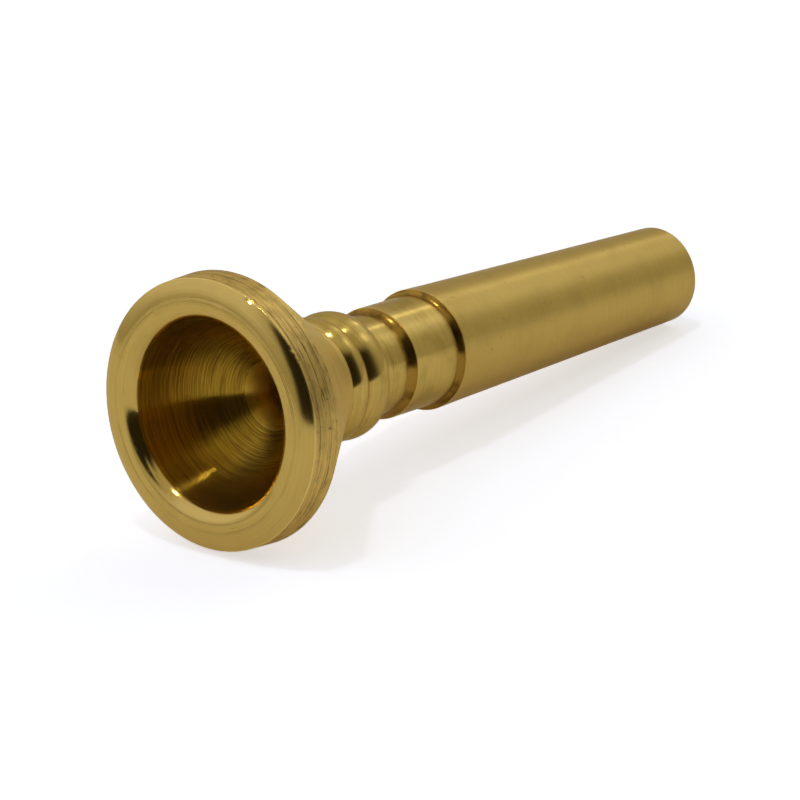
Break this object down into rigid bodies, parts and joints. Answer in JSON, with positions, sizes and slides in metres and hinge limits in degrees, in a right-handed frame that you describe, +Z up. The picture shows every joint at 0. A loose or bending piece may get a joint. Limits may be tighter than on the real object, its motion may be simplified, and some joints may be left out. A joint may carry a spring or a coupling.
{
  "type": "brass mouthpiece",
  "caption": "Brass mouthpiece for a small horn: cup with a rounded rim, turned stem with decorative beads, and a tapered shank tube for the instrument's receiver.",
  "frame": {"origin": "on the bore's axis in the plane of the rim's crest, where the lips seat", "axes": "+X along the bore from the rim to the shank's open end, +Z up"},
  "size_m": [0.0712, 0.0256, 0.0256],
  "materials": {
    "cup_brass": "turned and buffed",
    "stem_brass": "bright turned",
    "sleeve_brass": "bright drawn",
    "shank_brass": "satin",
    "solder": "as flowed"
  },
  "bodies": {
    "root": {"cup_head": "cup_brass", "beaded_stem": "stem_brass", "collar_sleeve": "sleeve_brass", "shank_tube": "shank_brass", "collar_solder_fillet": "solder", "shank_solder_fillet": "solder"}
  },
  "joints": []
}
